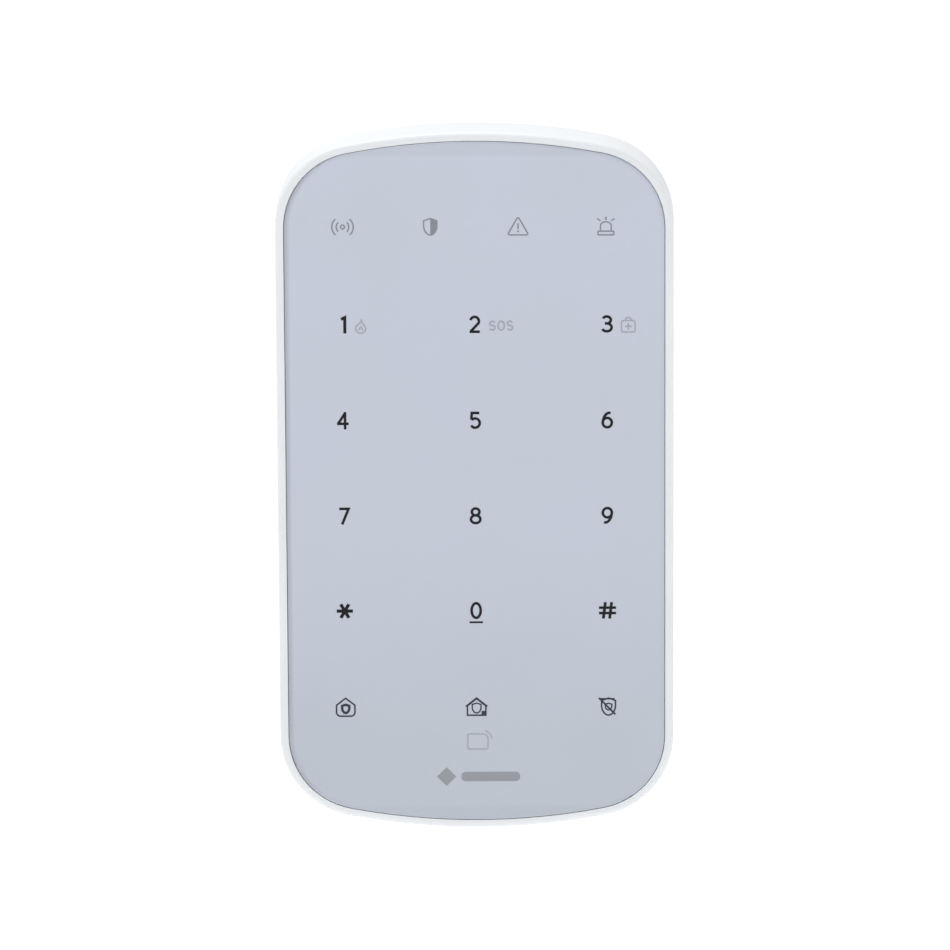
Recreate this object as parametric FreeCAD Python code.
import FreeCAD, Part
import math
import os

# Wall-mounted alarm keypad. Millimetres. The wall is the plane y = 0 and the keypad faces -Y;
# +X is the viewer's right and +Z is up. The origin is the centre of the wall-screw pattern.

V = FreeCAD.Vector
ALONG_X, ALONG_Y, ALONG_Z = V(1, 0, 0), V(0, 1, 0), V(0, 0, 1)

# ---- overall outline ---------------------------------------------------------------------------
CASE_WIDTH = 86.0
CASE_HEIGHT = 154.0
CASE_DEPTH = 24.0
END_RADIUS = 147.0          # the arched top and bottom
CORNER_RADIUS = 18.6        # tangent to the side and to the arched end

# ---- planes from the front to the wall ---------------------------------------------------------
GLASS_THICK = 1.6
GLASS_FRONT = -CASE_DEPTH
GLASS_BACK = GLASS_FRONT + GLASS_THICK
GLASS_PROUD = 0.25          # the glass stands this far in front of the border
FRAME_FRONT = GLASS_FRONT + GLASS_PROUD
ADHESIVE_THICK = 0.15
LEDGE_FRONT = GLASS_BACK + ADHESIVE_THICK
LEDGE_BACK = -20.9
FILM_THICK = 0.2
GUIDE_FRONT, GUIDE_BACK = -22.15, -21.55
MASK_FRONT, MASK_BACK = -21.5, -19.95
BOARD_FRONT, BOARD_BACK = -19.9, -18.7
PARTING_LINE = -11.5        # back edge of the front frame
PARTING_GAP = 0.25
REAR_FRONT = PARTING_LINE + PARTING_GAP
REAR_WALL_IN, REAR_WALL_OUT = -5.0, -3.0
REAR_RIM = -0.6
PAD_FACE = -1.1             # face of the raised pad round the battery door
BRACKET_FRONT, BRACKET_BACK = -2.4, 0.0

# ---- how far each outline lies inside the case's outline ----------------------------------------
FRAME_DRAFT = 0.2
POCKET_INSET = 2.05
GLASS_INSET = 2.15
WALL_INSET = 2.0
LEDGE_INSET = 4.2
FILM_INSET = 4.6
MASK_INSET = 5.0
GUIDE_INSET = 9.0
BOARD_INSET = 3.0
TONGUE_INSET, TONGUE_INNER = 2.15, 3.35
TONGUE_REACH = 2.15
REAR_FRONT_INSET, REAR_BACK_INSET = 0.15, 3.3
REAR_HOLLOW_INSET = 4.2
RECESS_INSET = 5.2

# ---- touch keys and icons -----------------------------------------------------------------------
KEY_COLUMNS = (-28.45, 0.0, 28.45)
TOP_KEY_Z = 35.1
KEY_PITCH = 21.05
KEY_ROWS = tuple(TOP_KEY_Z - KEY_PITCH * row for row in range(5))
STATUS_COLUMNS = (-28.2, -9.4, 9.4, 28.2)
STATUS_Z = 56.4
SIDE_ICONS = ((-23.6, 34.8), (6.6, 34.9), (34.0, 35.1))
CARD_ICON = (0.0, -57.9)
KEY_WELL_RADIUS = 2.9
SMALL_WELL_RADIUS = 2.2
LED_SIZE = (1.6, 0.6, 0.8)

# ---- case screws, board screws -------------------------------------------------------------------
CORNER_SCREWS = [(x, z) for x in (-24.0, 24.0) for z in (-64.5, 64.5)]
SIDE_SCREWS = [(x, -5.0) for x in (-34.2, 34.2)]
BOSS_RADIUS = 2.9
BOSS_FRONT, BOSS_BACK = -21.2, -8.5
BOSS_RIB = 1.6
BOSS_RIB_BACK = -13.8
NOTCH_RADIUS = 3.3
SCREW_RADIUS, SCREW_HOLE = 1.1, 1.15
SCREW_HEAD_RADIUS, SCREW_HEAD = 2.2, 1.6
SCREW_SEAT = -6.2
SCREW_LENGTH = 10.0
BOARD_SCREWS = [(x, z) for x in (-36.6, 36.6) for z in (-40.0, 36.0)]
TAB_HALF = 3.0
TAB_INNER_X, TAB_OUTER_X = 34.9, 40.0
TAB_FRONT = -22.1
BOARD_SCREW_RADIUS, BOARD_SCREW_LENGTH = 0.8, 3.2
BOARD_HEAD_RADIUS, BOARD_HEAD = 1.6, 0.9

# ---- batteries: four AA cells lying across the case -----------------------------------------------
BAY_Z = -5.0
CELL_RADIUS, CELL_LENGTH = 7.1, 49.5
NUB_RADIUS, NUB_LENGTH = 2.75, 1.0
CELL_PITCH = 15.0
CELL_Y = -9.95
CELL_END_GAP = 0.05
CELL_ZS = [BAY_Z + CELL_PITCH * (1.5 - row) for row in range(4)]
BAY_HALF_X, BAY_HALF_Z = 28.5, 30.25
BAY_WALL = 1.2
BAY_FLOOR_OUT, BAY_FLOOR_IN = -18.3, -17.3
PLATE_THICK = 0.4
SPRING_WIRE = 0.35
SPRING_TIP_RADIUS, SPRING_BASE_RADIUS = 2.8, 4.2
SPRING_TURNS = 3

# ---- battery door ----------------------------------------------------------------------------------
HINGE_Y, HINGE_Z = -2.6, BAY_Z + 33.0
BARREL_RADIUS = 1.5
PIN_RADIUS, PIN_HOLE = 0.8, 0.86
PIN_REACH = 1.6
DOOR_HALF_X = 30.0
DOOR_BOTTOM = BAY_Z - 31.9
DOOR_OUT, DOOR_IN = PAD_FACE, -2.4
POCKET_FLOOR = -2.5
POCKET_HALF_X = 30.2
POCKET_TOP, POCKET_BOTTOM = HINGE_Z + 1.9, DOOR_BOTTOM - 0.3
PAD_HALF_X = 32.2
PAD_TOP, PAD_BOTTOM = POCKET_TOP + 2.0, POCKET_BOTTOM - 2.0
LATCH_HALF_X = 6.0
LATCH_SLIT = 0.8
LATCH_LENGTH = 9.0

# ---- wall bracket ------------------------------------------------------------------------------------
CASE_LIFT = 5.0             # how far the case slides up to leave the hooks
BRACKET_SIDE_GAP = 0.3
BRACKET_INSET = RECESS_INSET + BRACKET_SIDE_GAP
BRACKET_END_TRIM = 2.8      # taken off each end so that the case can slide up in its recess
OPENING_HALF_X = 32.8
OPENING_GAP = 0.6
WALL_HOLE_X, WALL_HOLE_Z = 22.0, 54.0
WALL_HOLE_RADIUS, COUNTERSINK_RADIUS = 2.2, 3.6
HOOK_X = 30.0
HOOK_HALF_WIDTH = 4.0
HOOK_FEET = (44.0, -52.0)   # z of each hook's underside
HOOK_POST, HOOK_LIP = 2.0, 4.0
HOOK_LIP_BACK, HOOK_LIP_FRONT = -5.3, -6.8
WINDOW_SIDE_GAP = 1.1
HOOK_REST_GAP = 0.1

# ---- tamper plunger and power switch -----------------------------------------------------------------
TAMPER_X, TAMPER_Z = -9.0, 50.0
TAMPER_TRAVEL = 1.8
PLUNGER_RADIUS, GUIDE_BORE = 1.9, 1.97
GUIDE_RADIUS, GUIDE_END = 3.6, -8.3
FLANGE_RADIUS, FLANGE_BACK, FLANGE_FRONT = 3.3, -10.2, -11.0
TAMPER_PIN_RADIUS = 1.5
TAMPER_CONTACT_TOP = BOARD_BACK + 0.5
SWITCH_X, SWITCH_Z = 9.0, 52.0
SWITCH_BODY = (10.0, 5.0)
SWITCH_TOP = -13.1
SWITCH_TRAVEL = 2.0
KNOB_WIDTH, KNOB_DEPTH = 3.0, 2.2
KNOB_FRONT, KNOB_BACK = -15.0, -9.6
WELL_HALF = (7.4, 4.2)
WELL_WALL = 1.2
WELL_FLOOR = -11.5


# ---- helpers --------------------------------------------------------------------------------------------
def outline(inset, y, trim=0.0, up=0.0):
    """The case's outline, inset all round, as a closed wire at y. trim shortens each end further."""
    half_width = CASE_WIDTH / 2 - inset
    half_height = CASE_HEIGHT / 2 - inset - trim
    end_radius, corner_radius = END_RADIUS - inset, CORNER_RADIUS - inset
    end_z = half_height - end_radius
    corner_x = half_width - corner_radius
    reach = end_radius - corner_radius
    corner_z = end_z + math.sqrt(reach ** 2 - corner_x ** 2)
    sweep = math.atan2(corner_z - end_z, corner_x)

    def on_corner(angle, side, end):
        x = corner_x + corner_radius * math.cos(angle)
        z = corner_z + corner_radius * math.sin(angle)
        return V(side * x, y, end * z + up)

    def corner(side, end, angles):
        return Part.Arc(*[on_corner(a, side, end) for a in angles]).toShape()

    def arched_end(side, end):
        crown = V(0, y, end * half_height + up)
        return Part.Arc(on_corner(sweep, side, end), crown, on_corner(sweep, -side, end)).toShape()

    def straight(side, end):
        return Part.LineSegment(on_corner(0, side, end), on_corner(0, side, -end)).toShape()

    rising, falling = (0, sweep / 2, sweep), (sweep, sweep / 2, 0)
    return Part.Wire([
        straight(1, -1), corner(1, 1, rising), arched_end(1, 1), corner(-1, 1, falling),
        straight(-1, 1), corner(-1, -1, rising), arched_end(-1, -1), corner(1, -1, falling),
    ])


def slab(inset, front, back, trim=0.0, up=0.0):
    """A plate of the case's outline from y = front to y = back."""
    return Part.Face(outline(inset, front, trim, up)).extrude(V(0, back - front, 0))


def tapered(front_inset, front, back_inset, back):
    """The case's outline at two planes, joined by straight walls."""
    return Part.makeLoft([outline(front_inset, front), outline(back_inset, back)], True, True)


def block(x0, x1, y0, y1, z0, z1):
    return Part.makeBox(x1 - x0, y1 - y0, z1 - z0, V(x0, y0, z0))


def block_at(x, z, half_x, half_z, front, back):
    return block(x - half_x, x + half_x, front, back, z - half_z, z + half_z)


def rounded_block(x0, x1, z0, z1, radius, front, back):
    """A block whose four edges along Y are rounded."""
    solid = block(x0, x1, front, back, z0, z1)
    return solid.makeFillet(radius, [e for e in solid.Edges if abs(e.tangentAt(e.FirstParameter).y) > 0.9])


def rod(radius, x, z, front, back):
    """A cylinder along Y."""
    return Part.makeCylinder(radius, back - front, V(x, front, z), ALONG_Y)


def rod_x(radius, x0, x1, y, z):
    """A cylinder along X."""
    return Part.makeCylinder(radius, x1 - x0, V(x0, y, z), ALONG_X)


def edges_in_plane(shape, y, reach=1e-3):
    return [e for e in shape.Edges
            if abs(e.BoundBox.YMin - y) < reach and abs(e.BoundBox.YMax - y) < reach]


def round_plane_edges(shape, y, radius):
    return shape.makeFillet(radius, edges_in_plane(shape, y))


def coil(first_radius, last_radius, wire, length, turns):
    """A wire coil on +Z: the wire's centre line runs from z = 0 to z = length, and is an eighth of a turn
    to each of its edges, each one a spline through points of the helix with the helix's own end tangents."""
    edges_per_turn, points_per_edge = 8, 5
    widening = (last_radius - first_radius) / turns

    def point(turn):
        angle, radius = 2 * math.pi * turn, first_radius + widening * turn
        return V(radius * math.cos(angle), radius * math.sin(angle), length * turn / turns)

    def rate(turn):
        """How fast the point moves, per turn."""
        angle, around = 2 * math.pi * turn, 2 * math.pi * (first_radius + widening * turn)
        return V(widening * math.cos(angle) - around * math.sin(angle),
                 widening * math.sin(angle) + around * math.cos(angle), length / turns)

    step = 1 / edges_per_turn
    edges = []
    for n in range(turns * edges_per_turn):
        begin = n * step
        curve = Part.BSplineCurve()
        curve.interpolate(Points=[point(begin + step * k / (points_per_edge - 1)) for k in range(points_per_edge)],
                          InitialTangent=rate(begin) * step, FinalTangent=rate(begin + step) * step)
        edges.append(curve.toShape())
    section = Part.Wire(Part.Circle(point(0), rate(0), wire).toShape())
    return Part.Wire(edges).makePipeShell([section], True, True)


def laid_along(shape, start, direction):
    """Turns a shape built on +Z to run along another direction from a point."""
    turned = shape.copy()
    turned.Placement = FreeCAD.Placement(start, FreeCAD.Rotation(ALONG_Z, direction))
    return turned


def joined(first, *others):
    return first.fuse(list(others)).removeSplitter()


def save(name, shape):
    """Writes one node: each of its solids is checked to be closed and valid."""
    solids = shape.Solids if hasattr(shape, "Solids") else [s for part in shape for s in part.Solids]
    for solid in solids:
        if not (solid.isValid() and solid.isClosed() and solid.Volume > 0):
            raise ValueError(f"{name} has a bad solid")
    whole = solids[0] if len(solids) == 1 else Part.makeCompound(solids)
    whole.exportStep(f"parts/{name}.step")
    print(f"{name}: {len(solids)} solid(s), {sum(s.Volume for s in solids):.1f} mm3")


# ---- shared cutters ---------------------------------------------------------------------------------------
def outward_strip(x, z, half_width, length, front, back):
    """A strip from a screw's axis straight out towards the nearest side or end of the case."""
    if (x, z) in SIDE_SCREWS:
        ends = sorted((x, x + math.copysign(length, x)))
        return block(*ends, front, back, z - half_width, z + half_width)
    ends = sorted((z, z + math.copysign(length, z)))
    return block(x - half_width, x + half_width, front, back, *ends)


def boss_notches(front, back):
    """The gaps that let a plate pass over the case-screw bosses and their ribs."""
    reach = 12.0
    cutters = []
    for x, z in CORNER_SCREWS + SIDE_SCREWS:
        cutters.append(rod(NOTCH_RADIUS, x, z, front, back))
        cutters.append(outward_strip(x, z, NOTCH_RADIUS, reach, front, back))
    return cutters


def light_spots():
    """(x, z, radius) of each lit key and icon."""
    keys = [(x, z, KEY_WELL_RADIUS) for z in KEY_ROWS for x in KEY_COLUMNS]
    small = [(x, z, SMALL_WELL_RADIUS) for x, z in (*SIDE_ICONS, CARD_ICON)]
    return keys + small, [(x, STATUS_Z, SMALL_WELL_RADIUS) for x in STATUS_COLUMNS]


# ---- front -------------------------------------------------------------------------------------------------
def glass_panel():
    edge_round = 0.5
    panel = slab(GLASS_INSET, GLASS_FRONT, GLASS_BACK)
    return round_plane_edges(panel, GLASS_FRONT, edge_round)


def ring(outer_inset, inner_inset, front, back):
    return slab(outer_inset, front, back).cut(slab(inner_inset, front - 1, back + 1))


def glass_adhesive():
    return ring(GLASS_INSET, LEDGE_INSET + 0.1, GLASS_BACK, LEDGE_FRONT)


def graphic_film():
    return slab(FILM_INSET, GLASS_BACK, GLASS_BACK + FILM_THICK)


def light_guide():
    return slab(GUIDE_INSET, GUIDE_FRONT, GUIDE_BACK)


def light_mask():
    mask = slab(MASK_INSET, MASK_FRONT, MASK_BACK)
    keys, status = light_spots()
    wells = [rod(radius, x, z, MASK_FRONT - 1, MASK_BACK + 1) for x, z, radius in keys + status]
    gap = 0.3
    tabs = [block_at(x + math.copysign(TAB_HALF, x), z, 2 * TAB_HALF, TAB_HALF + gap,
                     MASK_FRONT - 1, MASK_BACK + 1) for x, z in BOARD_SCREWS]
    return mask.cut(wells + tabs + boss_notches(MASK_FRONT - 1, MASK_BACK + 1))


def leds(spots):
    width, thick, height = LED_SIZE
    lens = 0.35
    parts = []
    for x, z, _ in spots:
        base = block_at(x, z, width / 2, height / 2, BOARD_FRONT - thick, BOARD_FRONT)
        dome = Part.makeSphere(lens, V(x, BOARD_FRONT - thick, z))
        parts.append(joined(base, dome))
    return parts


def front_frame():
    edge_round = 1.25
    body = tapered(FRAME_DRAFT, FRAME_FRONT, 0.0, PARTING_LINE)
    body = round_plane_edges(body, FRAME_FRONT, edge_round)
    body = body.cut([slab(POCKET_INSET, FRAME_FRONT - 1, LEDGE_FRONT),
                     slab(LEDGE_INSET, FRAME_FRONT - 1, LEDGE_BACK + 1),
                     slab(WALL_INSET, LEDGE_BACK, PARTING_LINE + 1)])
    additions = []
    inside = slab(WALL_INSET - 0.5, BOSS_FRONT, BOSS_BACK)
    rib_reach = 14.0
    for x, z in CORNER_SCREWS + SIDE_SCREWS:
        rib = outward_strip(x, z, BOSS_RIB / 2, rib_reach, BOSS_FRONT, BOSS_RIB_BACK)
        additions += [rod(BOSS_RADIUS, x, z, BOSS_FRONT, BOSS_BACK), rib.common(inside)]
    for x, z in BOARD_SCREWS:
        ends = sorted((math.copysign(TAB_INNER_X, x), math.copysign(TAB_OUTER_X, x)))
        additions.append(block(*ends, TAB_FRONT, MASK_BACK, z - TAB_HALF, z + TAB_HALF))
    body = joined(body, *additions)
    pilots = [rod(SCREW_HOLE, x, z, SCREW_SEAT - SCREW_LENGTH - 0.5, BOSS_BACK + 1)
              for x, z in CORNER_SCREWS + SIDE_SCREWS]
    pilots += [rod(BOARD_SCREW_RADIUS + 0.05, x, z, BOARD_BACK - BOARD_SCREW_LENGTH - 0.1, MASK_BACK + 1)
               for x, z in BOARD_SCREWS]
    return body.cut(pilots + sound_slots())


def sound_slots():
    """A row of round-ended slots in the middle of the bottom wall."""
    pitch, half_width, half_length, y = 3.0, 0.6, 2.0, -15.6
    bottom = -CASE_HEIGHT / 2
    slots = []
    for n in range(-3, 4):
        x = n * pitch
        slots.append(block(x - half_width, x + half_width, y - half_length, y + half_length,
                           bottom - 1, bottom + WALL_INSET + 1))
        for end in (-half_length, half_length):
            slots.append(Part.makeCylinder(half_width, WALL_INSET + 2, V(x, y + end, bottom - 1), ALONG_Z))
    return slots


# ---- electronics ---------------------------------------------------------------------------------------------
def main_board():
    board = slab(BOARD_INSET, BOARD_FRONT, BOARD_BACK)
    hole = 1.0
    holes = [rod(hole, x, z, BOARD_FRONT - 1, BOARD_BACK + 1) for x, z in BOARD_SCREWS]
    return board.cut(boss_notches(BOARD_FRONT - 1, BOARD_BACK + 1) + holes)


def chip(x, z, half, height, leads, lead_pitch):
    """A square chip with a row of leads on each side and a pin-one dimple."""
    lead_half, lead_reach, lead_height, dimple = 0.12, 0.8, 0.35, 0.5
    body = block_at(x, z, half, half, BOARD_BACK + 0.1, BOARD_BACK + height)
    body = body.makeChamfer(0.2, edges_in_plane(body, BOARD_BACK + height))
    pins = []
    for n in range(leads):
        along = (n - (leads - 1) / 2) * lead_pitch
        pins.append(block_at(x + along, z, lead_half, half + lead_reach, BOARD_BACK, BOARD_BACK + lead_height))
        pins.append(block_at(x, z + along, half + lead_reach, lead_half, BOARD_BACK, BOARD_BACK + lead_height))
    corner = half - 2 * dimple
    return joined(body, *pins).cut(rod(dimple, x - corner, z + corner, BOARD_BACK + height - 0.1, 0))


RADIO_X, RADIO_Z = -25.0, 46.0
RADIO_HALF = (8.0, 6.0)
RADIO_BOARD_BACK = BOARD_BACK + 0.8


def radio_board():
    half_x, half_z = RADIO_HALF
    board = block_at(RADIO_X, RADIO_Z, half_x, half_z, BOARD_BACK, RADIO_BOARD_BACK)
    pad_pitch, pad = 1.6, 0.4
    notches = [rod(pad, RADIO_X + n * pad_pitch, RADIO_Z + end * half_z, BOARD_BACK - 1, RADIO_BOARD_BACK + 1)
               for n in range(-4, 5) for end in (-1, 1)]
    return board.cut(notches)


def radio_shield():
    half_x, half_z, height, skin, vent = 7.0, 4.9, 2.0, 0.2, 0.5
    top = RADIO_BOARD_BACK + height
    can = block_at(RADIO_X, RADIO_Z, half_x, half_z, RADIO_BOARD_BACK, top)
    can = can.cut(block_at(RADIO_X, RADIO_Z, half_x - skin, half_z - skin, RADIO_BOARD_BACK - 1, top - skin))
    vents = [rod(vent, RADIO_X + dx, RADIO_Z + dz, top - 1, top + 1) for dx in (-3, 0, 3) for dz in (-2, 2)]
    return can.cut(vents)


def radio_antenna():
    """A wire helix beside the radio, standing on two legs soldered to the board."""
    radius, wire, length, turns = 2.2, 0.35, 15.0, 10
    start, y, z = 16.5, -15.7, 41.5
    helix = laid_along(coil(radius, radius, wire, length, turns), V(start, y, z), ALONG_X)
    ends = [face.CenterOfMass for face in helix.Faces if isinstance(face.Surface, Part.Plane)]
    legs = [rod(wire, end.x, end.z, BOARD_BACK, end.y) for end in ends]
    return joined(helix, *legs)


def card_coil():
    x, z, half_x, half_z, width, height, corner = 0.0, -55.0, 20.5, 10.0, 2.5, 0.8, 4.0
    outer = rounded_block(x - half_x, x + half_x, z - half_z, z + half_z, corner, BOARD_BACK, BOARD_BACK + height)
    inner = rounded_block(x - half_x + width, x + half_x - width, z - half_z + width, z + half_z - width,
                          corner - width, BOARD_BACK - 1, BOARD_BACK + height + 1)
    return outer.cut(inner)


def sounder():
    x, z, radius, height, hole = -29.5, -47.0, 6.0, 7.5, 1.0
    top = BOARD_BACK + height
    can = round_plane_edges(rod(radius, x, z, BOARD_BACK, top), top, 0.5)
    return can.cut(rod(hole, x, z, top - 1, top + 1))


# ---- tamper and power switch -----------------------------------------------------------------------------------
def tamper_contact():
    """The ring that the spring stands on and the centre pad that the pressed plunger bridges."""
    base_radius, rim_radius, rim = 3.6, 3.1, 0.6
    cup = rod(base_radius, TAMPER_X, TAMPER_Z, BOARD_BACK, TAMPER_CONTACT_TOP + rim)
    return cup.cut(rod(rim_radius, TAMPER_X, TAMPER_Z, TAMPER_CONTACT_TOP, 0))


def tamper_plunger():
    tip, tip_round, pill_gap = -0.05, 0.7, 0.1
    shaft = round_plane_edges(rod(PLUNGER_RADIUS, TAMPER_X, TAMPER_Z, FLANGE_BACK, tip), tip, tip_round)
    flange = rod(FLANGE_RADIUS, TAMPER_X, TAMPER_Z, FLANGE_FRONT, FLANGE_BACK)
    pin = rod(TAMPER_PIN_RADIUS, TAMPER_X, TAMPER_Z, TAMPER_CONTACT_TOP + pill_gap, FLANGE_FRONT)
    return joined(shaft, flange, pin)


def tamper_spring():
    radius, wire, turns, gap = 2.3, 0.25, 5, 0.03
    start = TAMPER_CONTACT_TOP + wire + gap
    length = FLANGE_FRONT - wire - gap - start
    return laid_along(coil(radius, radius, wire, length, turns), V(TAMPER_X, start, TAMPER_Z), ALONG_Y)


def power_switch_body():
    half_x, half_z = SWITCH_BODY[0] / 2, SWITCH_BODY[1] / 2
    gap = 0.3
    can = block_at(SWITCH_X, SWITCH_Z, half_x, half_z, BOARD_BACK, SWITCH_TOP)
    can = can.makeFillet(0.3, edges_in_plane(can, SWITCH_TOP))
    track = block_at(SWITCH_X, SWITCH_Z, (KNOB_WIDTH + SWITCH_TRAVEL) / 2 + gap, KNOB_DEPTH / 2 + gap,
                     KNOB_FRONT - gap, 0)
    return can.cut(track)


def power_switch_knob():
    ridge, ridge_pitch, ridge_depth = 0.15, 0.75, 0.3
    x = SWITCH_X - SWITCH_TRAVEL / 2
    knob = block_at(x, SWITCH_Z, KNOB_WIDTH / 2, KNOB_DEPTH / 2, KNOB_FRONT, KNOB_BACK)
    grooves = [block_at(x + n * ridge_pitch, SWITCH_Z, ridge, KNOB_DEPTH, KNOB_BACK - ridge_depth, 0)
               for n in (-1, 0, 1)]
    return knob.cut(grooves)


# ---- rear cover ---------------------------------------------------------------------------------------------------
def hook_window(side, foot):
    """The slot that a bracket hook enters; its top edge rests on the hook's post."""
    half_width = HOOK_HALF_WIDTH + WINDOW_SIDE_GAP
    centre = side * HOOK_X
    return block(centre - half_width, centre + half_width, REAR_WALL_IN - 1, REAR_WALL_OUT + 1,
                 foot - CASE_LIFT - 0.5, foot + HOOK_POST + HOOK_REST_GAP)


def rear_cover():
    edge_round, pad_corner, rib_half = 1.5, 3.0, 0.6
    shell = tapered(REAR_FRONT_INSET, REAR_FRONT, REAR_BACK_INSET, REAR_RIM)
    shell = round_plane_edges(shell, REAR_RIM, edge_round)
    tongue = slab(TONGUE_INSET, REAR_FRONT - TONGUE_REACH, REAR_FRONT + 0.5)
    shell = joined(shell, tongue)
    shell = shell.cut([tapered(TONGUE_INNER, REAR_FRONT - TONGUE_REACH - 0.5, REAR_HOLLOW_INSET, REAR_WALL_IN),
                       slab(RECESS_INSET, REAR_WALL_OUT, REAR_RIM + 1)])

    pad = rounded_block(-PAD_HALF_X, PAD_HALF_X, PAD_BOTTOM, PAD_TOP, pad_corner, REAR_WALL_OUT - 0.5, PAD_FACE)
    bay = block_at(0, BAY_Z, BAY_HALF_X + BAY_WALL, BAY_HALF_Z + BAY_WALL, BAY_FLOOR_OUT, REAR_WALL_IN + 0.5)
    hinge_rib = block(-PAD_HALF_X, PAD_HALF_X, REAR_WALL_IN - 1, REAR_WALL_IN + 0.5,
                      HINGE_Z - 2.5, HINGE_Z + 2.5)
    well = block_at(SWITCH_X, SWITCH_Z, WELL_HALF[0] + WELL_WALL, WELL_HALF[1] + WELL_WALL,
                    WELL_FLOOR - WELL_WALL, REAR_WALL_IN + 0.5)
    guide = rod(GUIDE_RADIUS, TAMPER_X, TAMPER_Z, GUIDE_END, REAR_WALL_IN + 0.5)
    bosses = [rod(SCREW_HEAD_RADIUS + 1.3, x, z, BOSS_BACK + 0.1, REAR_WALL_IN + 0.5)
              for x, z in CORNER_SCREWS + SIDE_SCREWS]
    inside = slab(REAR_HOLLOW_INSET - 0.6, REAR_FRONT, REAR_WALL_IN + 0.5)
    ribs = [block(*sorted((side * (BAY_HALF_X + 0.5), side * CASE_WIDTH / 2)), REAR_WALL_IN - 4, REAR_WALL_IN + 0.5,
                  z - rib_half, z + rib_half).common(inside)
            for side in (-1, 1) for z in (12.0, -22.0)]
    shell = joined(shell, pad, bay, hinge_rib, well, guide, *bosses, *ribs)

    tail_slots = [block(-BAY_HALF_X - 0.1, -BAY_HALF_X + PLATE_THICK + 0.2, BAY_FLOOR_OUT - 1, BAY_FLOOR_IN + 0.5,
                        z - 2.3, z + 2.3) for z in (CELL_ZS[0], CELL_ZS[3])]
    cuts = [
        block_at(0, BAY_Z, BAY_HALF_X, BAY_HALF_Z, BAY_FLOOR_IN, 1),
        rounded_block(-POCKET_HALF_X, POCKET_HALF_X, POCKET_BOTTOM, POCKET_TOP, 0.8, POCKET_FLOOR, 1),
        rod_x(BARREL_RADIUS + 0.3, -POCKET_HALF_X, POCKET_HALF_X, HINGE_Y, HINGE_Z),
        block(-POCKET_HALF_X, POCKET_HALF_X, HINGE_Y, 0, HINGE_Z - BARREL_RADIUS, POCKET_TOP),
        rod_x(PIN_HOLE, -DOOR_HALF_X - PIN_REACH - 0.2, DOOR_HALF_X + PIN_REACH + 0.2, HINGE_Y, HINGE_Z),
        rounded_block(-LATCH_HALF_X, LATCH_HALF_X, PAD_BOTTOM - 0.5, POCKET_BOTTOM + 1, 0.4, POCKET_FLOOR, 1),
        block_at(SWITCH_X, SWITCH_Z, *WELL_HALF, WELL_FLOOR, 0),
        block_at(SWITCH_X, SWITCH_Z, (KNOB_WIDTH + SWITCH_TRAVEL) / 2 + 0.4, KNOB_DEPTH / 2 + 0.4,
                 WELL_FLOOR - WELL_WALL - 1, 0),
        rod(GUIDE_BORE, TAMPER_X, TAMPER_Z, GUIDE_END - 1, 0),
    ]
    cuts += [hook_window(side, foot) for side in (-1, 1) for foot in HOOK_FEET]
    for x, z in CORNER_SCREWS + SIDE_SCREWS:
        cuts.append(rod(SCREW_HOLE, x, z, BOSS_BACK - 1, 0))
        cuts.append(rod(SCREW_HEAD_RADIUS + 0.2, x, z, SCREW_SEAT, 0))
    return shell.cut(cuts + tail_slots + bay_lightening())


def bay_lightening():
    """Round-bottomed cradles under the cells, cut into the bay's floor and just clear of the cells."""
    clear = 0.15
    return [rod_x(CELL_RADIUS + clear, -BAY_HALF_X + 2, BAY_HALF_X - 2, CELL_Y, z) for z in CELL_ZS]


# ---- batteries ---------------------------------------------------------------------------------------------------------
def cell_ends(row):
    """+1 where the cell's positive nub points to +X and -1 where it points to -X: neighbours alternate."""
    return 1 if row % 2 == 0 else -1


def battery_cells():
    edge_round = 0.6
    cells = []
    for row, z in enumerate(CELL_ZS):
        way = cell_ends(row)
        nub_tip = BAY_HALF_X - PLATE_THICK - CELL_END_GAP
        can = Part.makeCylinder(CELL_RADIUS, CELL_LENGTH, V(-CELL_LENGTH, 0, 0), ALONG_X)
        can = can.makeFillet(edge_round, [e for e in can.Edges if e.BoundBox.XLength < 1e-3])
        nub = Part.makeCylinder(NUB_RADIUS, NUB_LENGTH, V(0, 0, 0), ALONG_X)
        cell = joined(can, nub)
        cell.translate(V(nub_tip - NUB_LENGTH, 0, 0))
        if way < 0:
            cell.rotate(V(0, 0, 0), ALONG_Z, 180)
        cell.translate(V(0, CELL_Y, z))
        cells.append(cell)
    return cells


def battery_plates():
    """Metal plates on the bay's end walls: links between neighbours, and two end plates with tails to the board."""
    front, back, half, tail_half = -15.5, -4.4, 5.0, 2.0
    inner = BAY_HALF_X - PLATE_THICK
    top, second, third, bottom = CELL_ZS
    plates = [block(inner, BAY_HALF_X, front, back, second - half, top + half),
              block(inner, BAY_HALF_X, front, back, bottom - half, third + half),
              block(-BAY_HALF_X, -inner, front, back, third - half, second + half)]
    for z in (top, bottom):
        plate = block(-BAY_HALF_X, -inner, front, back, z - half, z + half)
        tail = block(-BAY_HALF_X, -inner, BOARD_BACK + 0.02, front, z - tail_half, z + tail_half)
        plates.append(joined(plate, tail))
    return plates


def battery_springs():
    """A conical spring at each cell's flat end, wide on its plate and narrow on the cell."""
    gap = 0.03
    plate_face = BAY_HALF_X - PLATE_THICK
    cell_back = plate_face - (CELL_END_GAP + NUB_LENGTH + CELL_LENGTH)
    base, tip = -plate_face + SPRING_WIRE + gap, cell_back - SPRING_WIRE - gap
    spring = coil(SPRING_BASE_RADIUS, SPRING_TIP_RADIUS, SPRING_WIRE, tip - base, SPRING_TURNS)
    return [laid_along(spring, V(cell_ends(row) * base, CELL_Y, z), ALONG_X * cell_ends(row))
            for row, z in enumerate(CELL_ZS)]


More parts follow.
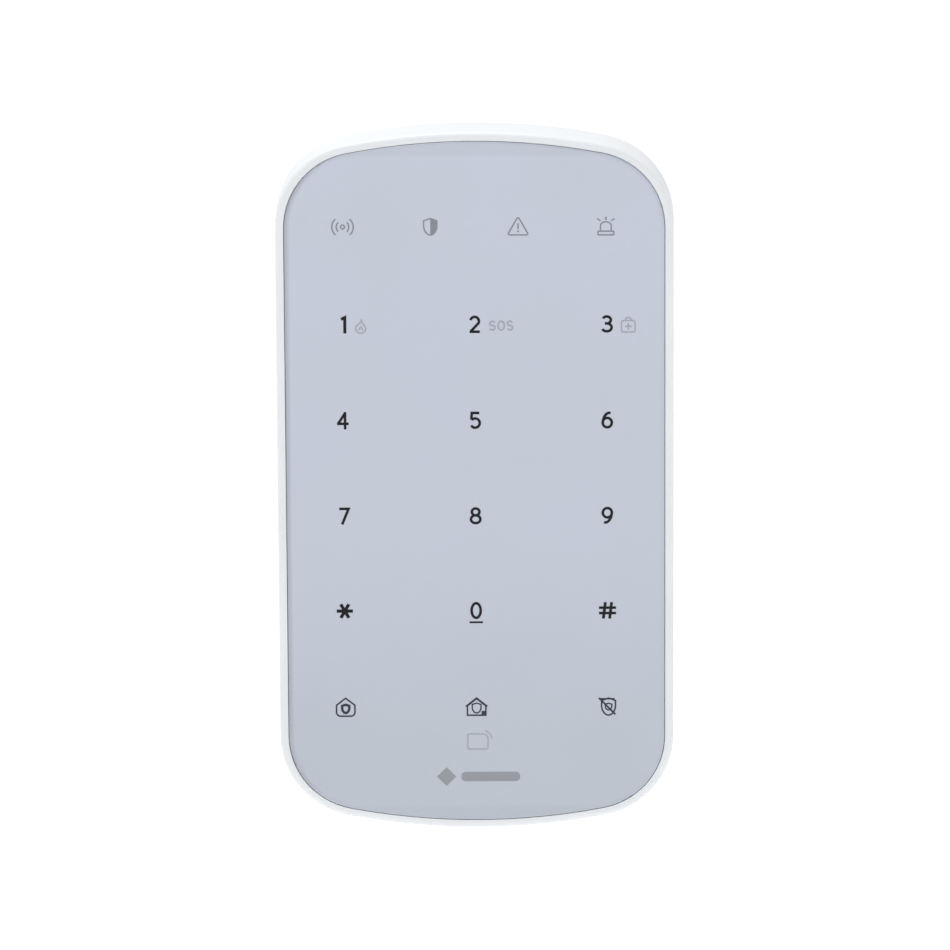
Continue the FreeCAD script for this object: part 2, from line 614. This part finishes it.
# ---- battery door ------------------------------------------------------------------------------------------------------
def battery_door():
    corner, grip_pitch, grip_half, grip_height = 0.6, 1.4, 0.35, 0.3
    panel = rounded_block(-DOOR_HALF_X, DOOR_HALF_X, DOOR_BOTTOM, HINGE_Z, corner, DOOR_IN, DOOR_OUT)
    barrel = rod_x(BARREL_RADIUS, -DOOR_HALF_X, DOOR_HALF_X, HINGE_Y, HINGE_Z)
    pins = rod_x(PIN_RADIUS, -DOOR_HALF_X - PIN_REACH, DOOR_HALF_X + PIN_REACH, HINGE_Y, HINGE_Z)
    # a spring tongue, cut free on both sides, with ridges for a fingertip and a lip into the pad's notch
    slit_top = DOOR_BOTTOM + LATCH_LENGTH
    slits = [block(*sorted((side * (LATCH_HALF_X - 0.6), side * (LATCH_HALF_X - 0.6 - LATCH_SLIT))),
                   DOOR_IN - 1, DOOR_OUT + 1, DOOR_BOTTOM - 1, slit_top) for side in (-1, 1)]
    lip_half = LATCH_HALF_X - 1.7
    lip = block(-lip_half, lip_half, DOOR_IN, DOOR_OUT, DOOR_BOTTOM - 1.6, DOOR_BOTTOM + 0.5)
    recess = rounded_block(-lip_half + 0.6, lip_half - 0.6, DOOR_BOTTOM + 0.8, slit_top - 1, 0.8,
                           DOOR_OUT - 0.6, DOOR_OUT + 1)
    ridges = [block(-lip_half + 1.2, lip_half - 1.2, DOOR_OUT - 0.7, DOOR_OUT - 0.6 + grip_height,
                    DOOR_BOTTOM + 2 + n * grip_pitch - grip_half, DOOR_BOTTOM + 2 + n * grip_pitch + grip_half)
              for n in range(4)]
    rib_half_x, rib_half, rib_depth = 24.0, 0.5, 1.8
    ribs = [block(-rib_half_x, rib_half_x, DOOR_IN - rib_depth, DOOR_IN + 0.5, z - rib_half, z + rib_half)
            for z in [(upper + lower) / 2 for upper, lower in zip(CELL_ZS, CELL_ZS[1:])]]
    body = joined(panel, barrel, pins, *ribs)
    body = joined(body.cut(slits), lip)
    return joined(body.cut(recess), *ridges)


def rating_label():
    half_x, half_z, z, thick, corner = 19.0, 12.0, 4.0, 0.12, 1.5
    return rounded_block(-half_x, half_x, z - half_z, z + half_z, corner, PAD_FACE, PAD_FACE + thick)


# ---- fasteners -----------------------------------------------------------------------------------------------------------
def pan_screw(x, z, seat, radius, length, head_radius, head):
    """A pan-head screw driven towards -Y, its head's underside at y = seat, with a cross recess."""
    slot_half, arm, slot_depth = head_radius * 0.16, head_radius * 0.6, head * 0.55
    tip_chamfer, head_round = radius * 0.4, head * 0.45
    shank = rod(radius, x, z, seat - length, seat)
    shank = shank.makeChamfer(tip_chamfer, edges_in_plane(shank, seat - length))
    cap = round_plane_edges(rod(head_radius, x, z, seat, seat + head), seat + head, head_round)
    cross = [block_at(x, z, arm, slot_half, seat + head - slot_depth, seat + head + 1),
             block_at(x, z, slot_half, arm, seat + head - slot_depth, seat + head + 1)]
    return joined(shank, cap).cut(cross)


def case_screws():
    return [pan_screw(x, z, SCREW_SEAT + 0.02, SCREW_RADIUS, SCREW_LENGTH, SCREW_HEAD_RADIUS, SCREW_HEAD)
            for x, z in CORNER_SCREWS + SIDE_SCREWS]


def board_screws():
    return [pan_screw(x, z, BOARD_BACK, BOARD_SCREW_RADIUS, BOARD_SCREW_LENGTH, BOARD_HEAD_RADIUS, BOARD_HEAD)
            for x, z in BOARD_SCREWS]


# ---- wall bracket ----------------------------------------------------------------------------------------------------------
def hook(side, foot):
    """A post through the rear cover's window with a lip that rises behind the cover's wall."""
    x0, x1 = side * HOOK_X - HOOK_HALF_WIDTH, side * HOOK_X + HOOK_HALF_WIDTH
    post = block(x0, x1, HOOK_LIP_FRONT, BRACKET_FRONT + 0.5, foot, foot + HOOK_POST)
    lip = block(x0, x1, HOOK_LIP_FRONT, HOOK_LIP_BACK, foot, foot + HOOK_POST + HOOK_LIP)
    whole = joined(post, lip)
    crest = [e for e in whole.Edges if e.BoundBox.ZMin > foot + HOOK_POST + HOOK_LIP - 1e-3
             and abs(e.BoundBox.YMin - HOOK_LIP_FRONT) < 1e-3 and e.BoundBox.YLength < 1e-3]
    return whole.makeChamfer(0.6, crest)


def wall_bracket():
    edge_break, slot_side_gap = 0.5, 0.8
    up = CASE_LIFT / 2
    plate = slab(BRACKET_INSET, BRACKET_FRONT, BRACKET_BACK, BRACKET_END_TRIM, up)
    plate = plate.makeChamfer(edge_break, edges_in_plane(plate, BRACKET_FRONT))
    plate = plate.cut(rounded_block(-OPENING_HALF_X, OPENING_HALF_X, PAD_BOTTOM - OPENING_GAP,
                                    PAD_TOP + CASE_LIFT + OPENING_GAP, 3.6, BRACKET_FRONT - 1, BRACKET_BACK + 1))
    plate = joined(plate, *[hook(side, foot) for side in (-1, 1) for foot in HOOK_FEET])
    cone = COUNTERSINK_RADIUS - WALL_HOLE_RADIUS
    # the mould's core for each hook's lip leaves a window through the plate behind the lip
    cuts = [block(side * HOOK_X - HOOK_HALF_WIDTH, side * HOOK_X + HOOK_HALF_WIDTH, BRACKET_FRONT - 1,
                  BRACKET_BACK + 1, foot + HOOK_POST, foot + HOOK_POST + HOOK_LIP + 0.3)
            for side in (-1, 1) for foot in HOOK_FEET]
    for x in (-WALL_HOLE_X, WALL_HOLE_X):
        for z in (-WALL_HOLE_Z, WALL_HOLE_Z):
            cuts.append(rod(WALL_HOLE_RADIUS, x, z, BRACKET_FRONT - 1, BRACKET_BACK + 1))
            cuts.append(Part.makeCone(COUNTERSINK_RADIUS, WALL_HOLE_RADIUS, cone, V(x, BRACKET_FRONT, z), ALONG_Y))
    half_slot = PLUNGER_RADIUS + slot_side_gap
    cuts.append(rounded_block(TAMPER_X - half_slot, TAMPER_X + half_slot, TAMPER_Z - half_slot,
                              TAMPER_Z + CASE_LIFT + half_slot, half_slot - 0.1, BRACKET_FRONT - 1,
                              BRACKET_BACK + 1))
    return plate.cut(cuts)


# ---- build -----------------------------------------------------------------------------------------------------------------
def main():
    os.makedirs("parts", exist_ok=True)
    key_spots, status_spots = light_spots()
    nodes = {
        "glass_panel": glass_panel(),
        "glass_adhesive": glass_adhesive(),
        "graphic_film": graphic_film(),
        "light_guide": light_guide(),
        "light_mask": light_mask(),
        "key_leds": leds(key_spots),
        "status_leds": leds(status_spots),
        "front_frame": front_frame(),
        "main_board": main_board(),
        "controller_chip": chip(26.0, 53.0, 5.0, 1.3, 12, 0.8),
        "card_reader_chip": chip(29.0, -46.0, 3.0, 1.0, 7, 0.8),
        "radio_board": radio_board(),
        "radio_shield": radio_shield(),
        "radio_antenna": radio_antenna(),
        "card_coil": card_coil(),
        "sounder": sounder(),
        "tamper_contact": tamper_contact(),
        "tamper_plunger": tamper_plunger(),
        "tamper_spring": tamper_spring(),
        "power_switch_body": power_switch_body(),
        "power_switch_knob": power_switch_knob(),
        "rear_cover": rear_cover(),
        "battery_cells": battery_cells(),
        "battery_plates": battery_plates(),
        "battery_springs": battery_springs(),
        "battery_door": battery_door(),
        "rating_label": rating_label(),
        "case_screws": case_screws(),
        "board_screws": board_screws(),
        "wall_bracket": wall_bracket(),
    }
    for name, shape in nodes.items():
        save(name, shape if not isinstance(shape, list) else Part.makeCompound(shape))


main()
